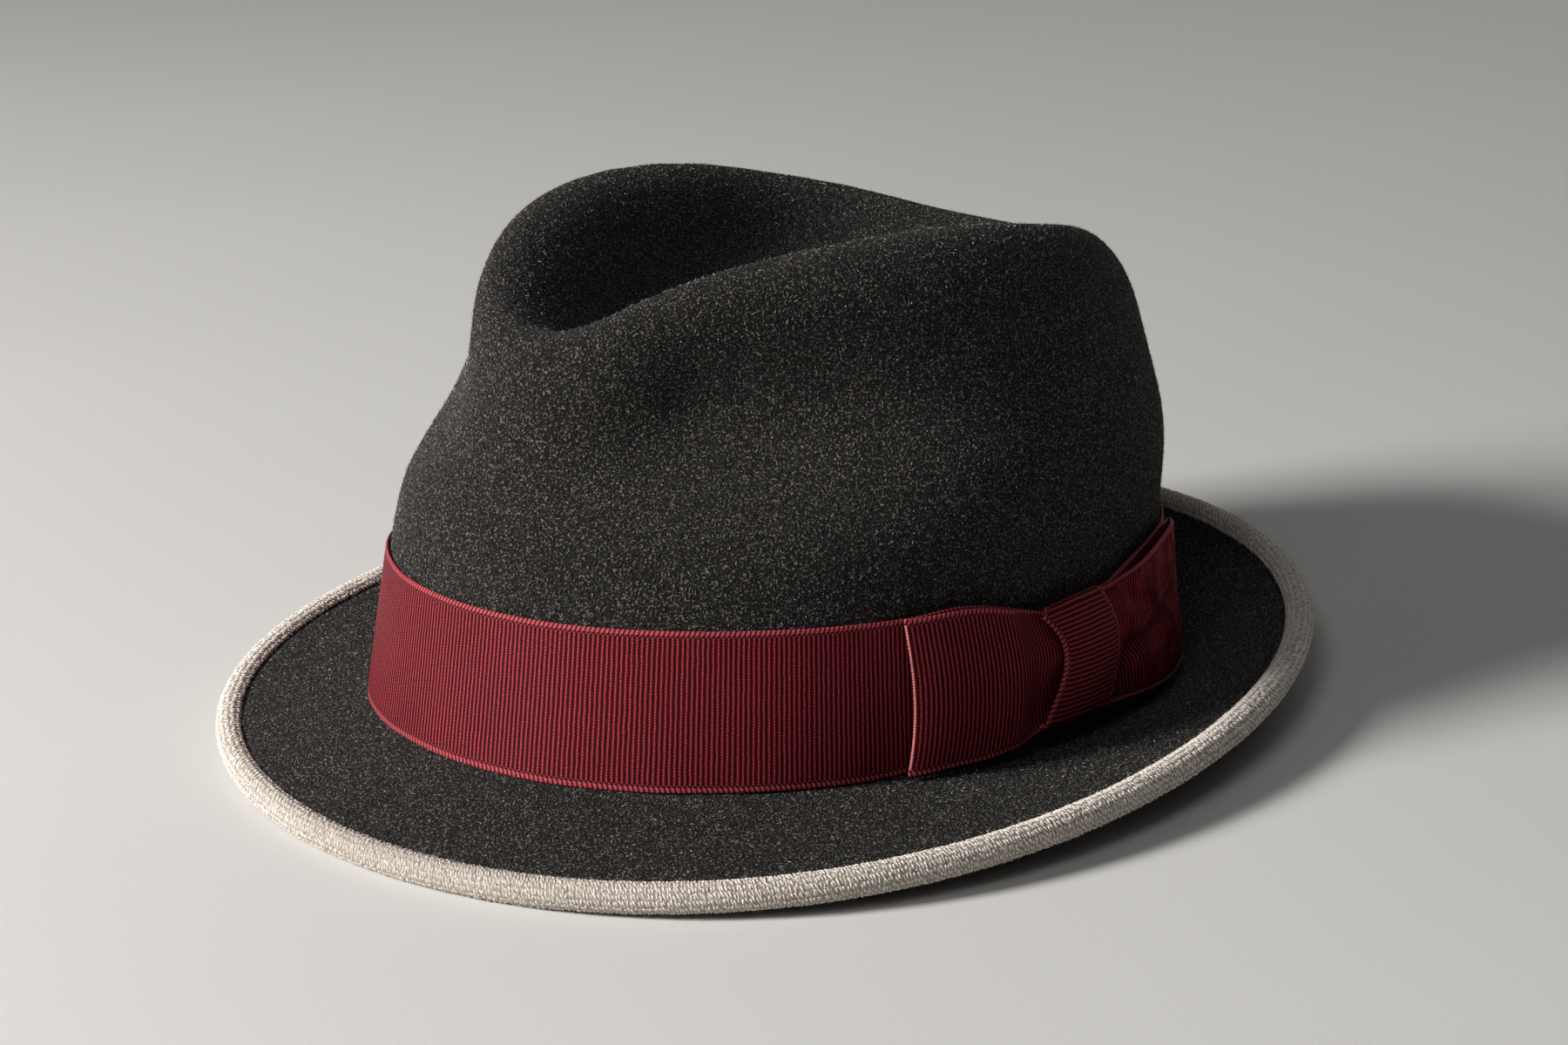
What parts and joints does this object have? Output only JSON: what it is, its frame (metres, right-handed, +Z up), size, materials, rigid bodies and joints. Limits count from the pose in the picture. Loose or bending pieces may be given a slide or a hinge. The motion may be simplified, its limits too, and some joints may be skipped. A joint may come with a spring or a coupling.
{
  "type": "trilby hat",
  "caption": "Felt trilby hat with a teardrop dent in the crown, front pinches, a ribbon band with a flat bow, and a brim edged with thick piping.",
  "frame": {"origin": "middle of the hat's box in plan, on the surface that it stands on", "axes": "front of the hat along -Y, the wearer's left (the bow's side) along +X, +Z up; the hat leans back by itself as it stands"},
  "size_m": [0.2476, 0.279, 0.1223],
  "materials": {
    "felt": "short-napped wool felt, matt, with a faint sheen on the ridges",
    "ribbon": "ribbed grosgrain ribbon with woven edges, low sheen",
    "piping": "twill woven cotton over a cord, matt"
  },
  "bodies": {
    "root": {"felt_body": "felt", "brim_piping": "piping", "ribbon_band": "ribbon", "bow_front_loop": "ribbon", "bow_rear_loop": "ribbon", "bow_knot": "ribbon"}
  },
  "joints": []
}
